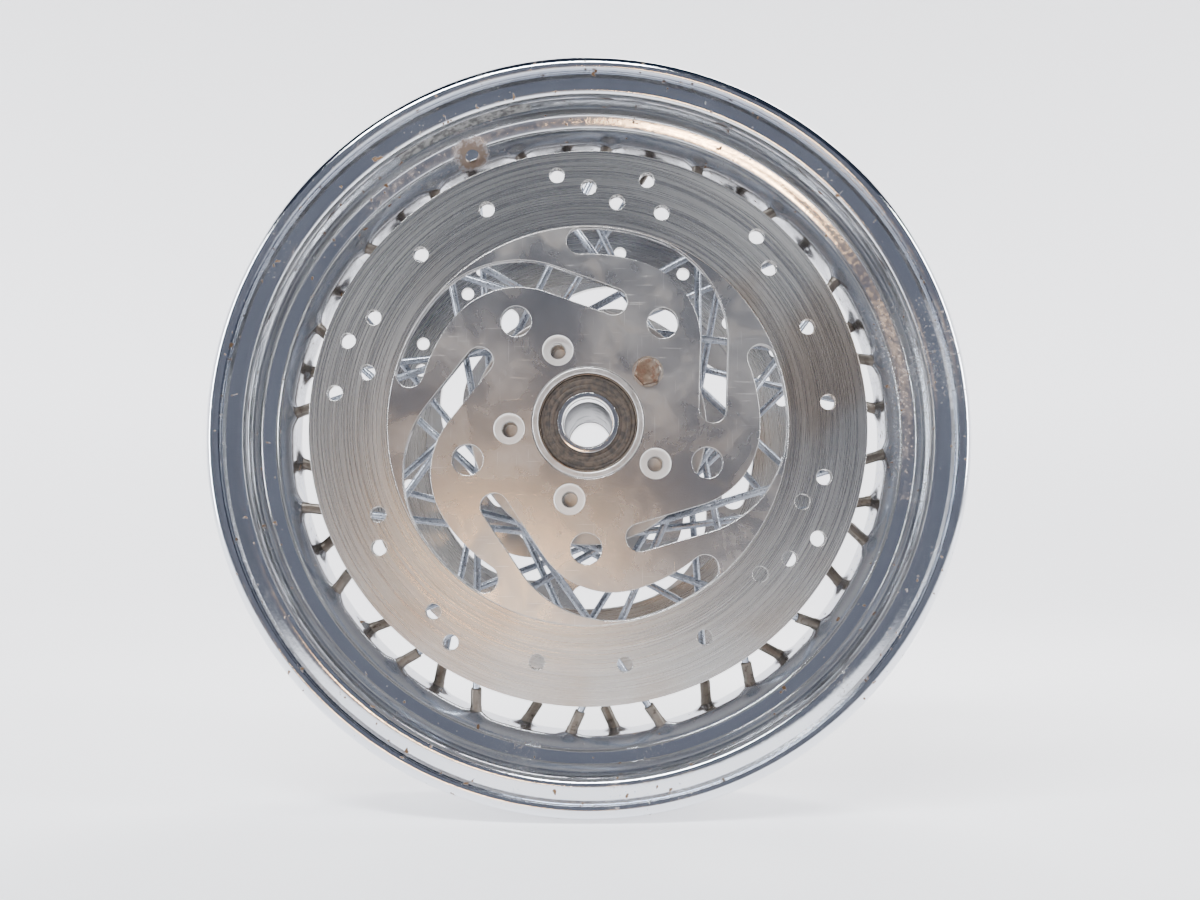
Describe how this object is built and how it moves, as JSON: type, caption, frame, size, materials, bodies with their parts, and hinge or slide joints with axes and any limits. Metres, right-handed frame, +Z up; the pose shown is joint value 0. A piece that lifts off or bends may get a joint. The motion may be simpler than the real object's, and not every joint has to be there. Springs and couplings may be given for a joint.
{
  "type": "spoked motorcycle wheel",
  "caption": "Laced steel-rimmed motorcycle wheel with a drilled swirl-window brake disc on each side and sealed ball bearings on a through-axle bore.",
  "frame": {"origin": "centre of the wheel: on the axle axis, halfway between the two bearings", "axes": "+Y along the axle axis, -Y out of the near (pictured) side; +Z up, +X to the right seen from the near side"},
  "size_m": [0.4148, 0.1342, 0.4148],
  "materials": {
    "rim_chrome": "chromed rolled steel, pitted and dulled",
    "strip": "matte mottled grey",
    "hub_alloy": "satin with grime",
    "spoke_zinc": "dull zinc plate",
    "nipple_bronze": "dull brown corroded nickel plate",
    "disc_steel": "stainless steel, swept ring scored round, carrier satin",
    "bolt_steel": "rusty plated steel",
    "bearing_steel": "ground bearing steel",
    "seal_rubber": "matte brown-black",
    "cage_brass": "pressed brass",
    "tube_steel": "plain drawn tube"
  },
  "bodies": {
    "axle_core": {"near_inner_race": "bearing_steel", "far_inner_race": "bearing_steel", "spacer_tube": "tube_steel"},
    "wheel": {"rim": "rim_chrome", "balance_strip": "strip", "hub_barrel": "hub_alloy", "near_hub_flanges": "hub_alloy", "far_hub_flanges": "hub_alloy", "near_outer_spokes": "spoke_zinc", "near_inner_spokes": "spoke_zinc", "far_outer_spokes": "spoke_zinc", "far_inner_spokes": "spoke_zinc", "near_nipples": "nipple_bronze", "far_nipples": "nipple_bronze", "near_disc": "disc_steel", "far_disc": "disc_steel", "near_disc_bolt": "bolt_steel", "far_disc_bolts": "bolt_steel", "near_outer_race": "bearing_steel", "far_outer_race": "bearing_steel", "near_outboard_seal": "seal_rubber", "near_inboard_seal": "seal_rubber", "far_outboard_seal": "seal_rubber", "far_inboard_seal": "seal_rubber"},
    "near_ball_row": {"near_balls": "bearing_steel", "near_cage": "cage_brass"},
    "far_ball_row": {"far_balls": "bearing_steel", "far_cage": "cage_brass"}
  },
  "joints": [
    {"name": "wheel_spin", "type": "hinge", "parent": "axle_core", "child": "wheel", "pos_m": [0, 0, 0], "axis": [0, 1, 0], "continuous": true},
    {"name": "near_ball_orbit", "type": "hinge", "parent": "axle_core", "child": "near_ball_row", "pos_m": [0, -0.0565, 0], "axis": [0, 1, 0], "continuous": true},
    {"name": "far_ball_orbit", "type": "hinge", "parent": "axle_core", "child": "far_ball_row", "pos_m": [0, 0.0565, 0], "axis": [0, 1, 0], "continuous": true}
  ],
  "couplings": [
    {"joint": "near_ball_orbit", "follows": "wheel_spin", "ratio": 0.6026},
    {"joint": "far_ball_orbit", "follows": "wheel_spin", "ratio": 0.6026}
  ]
}
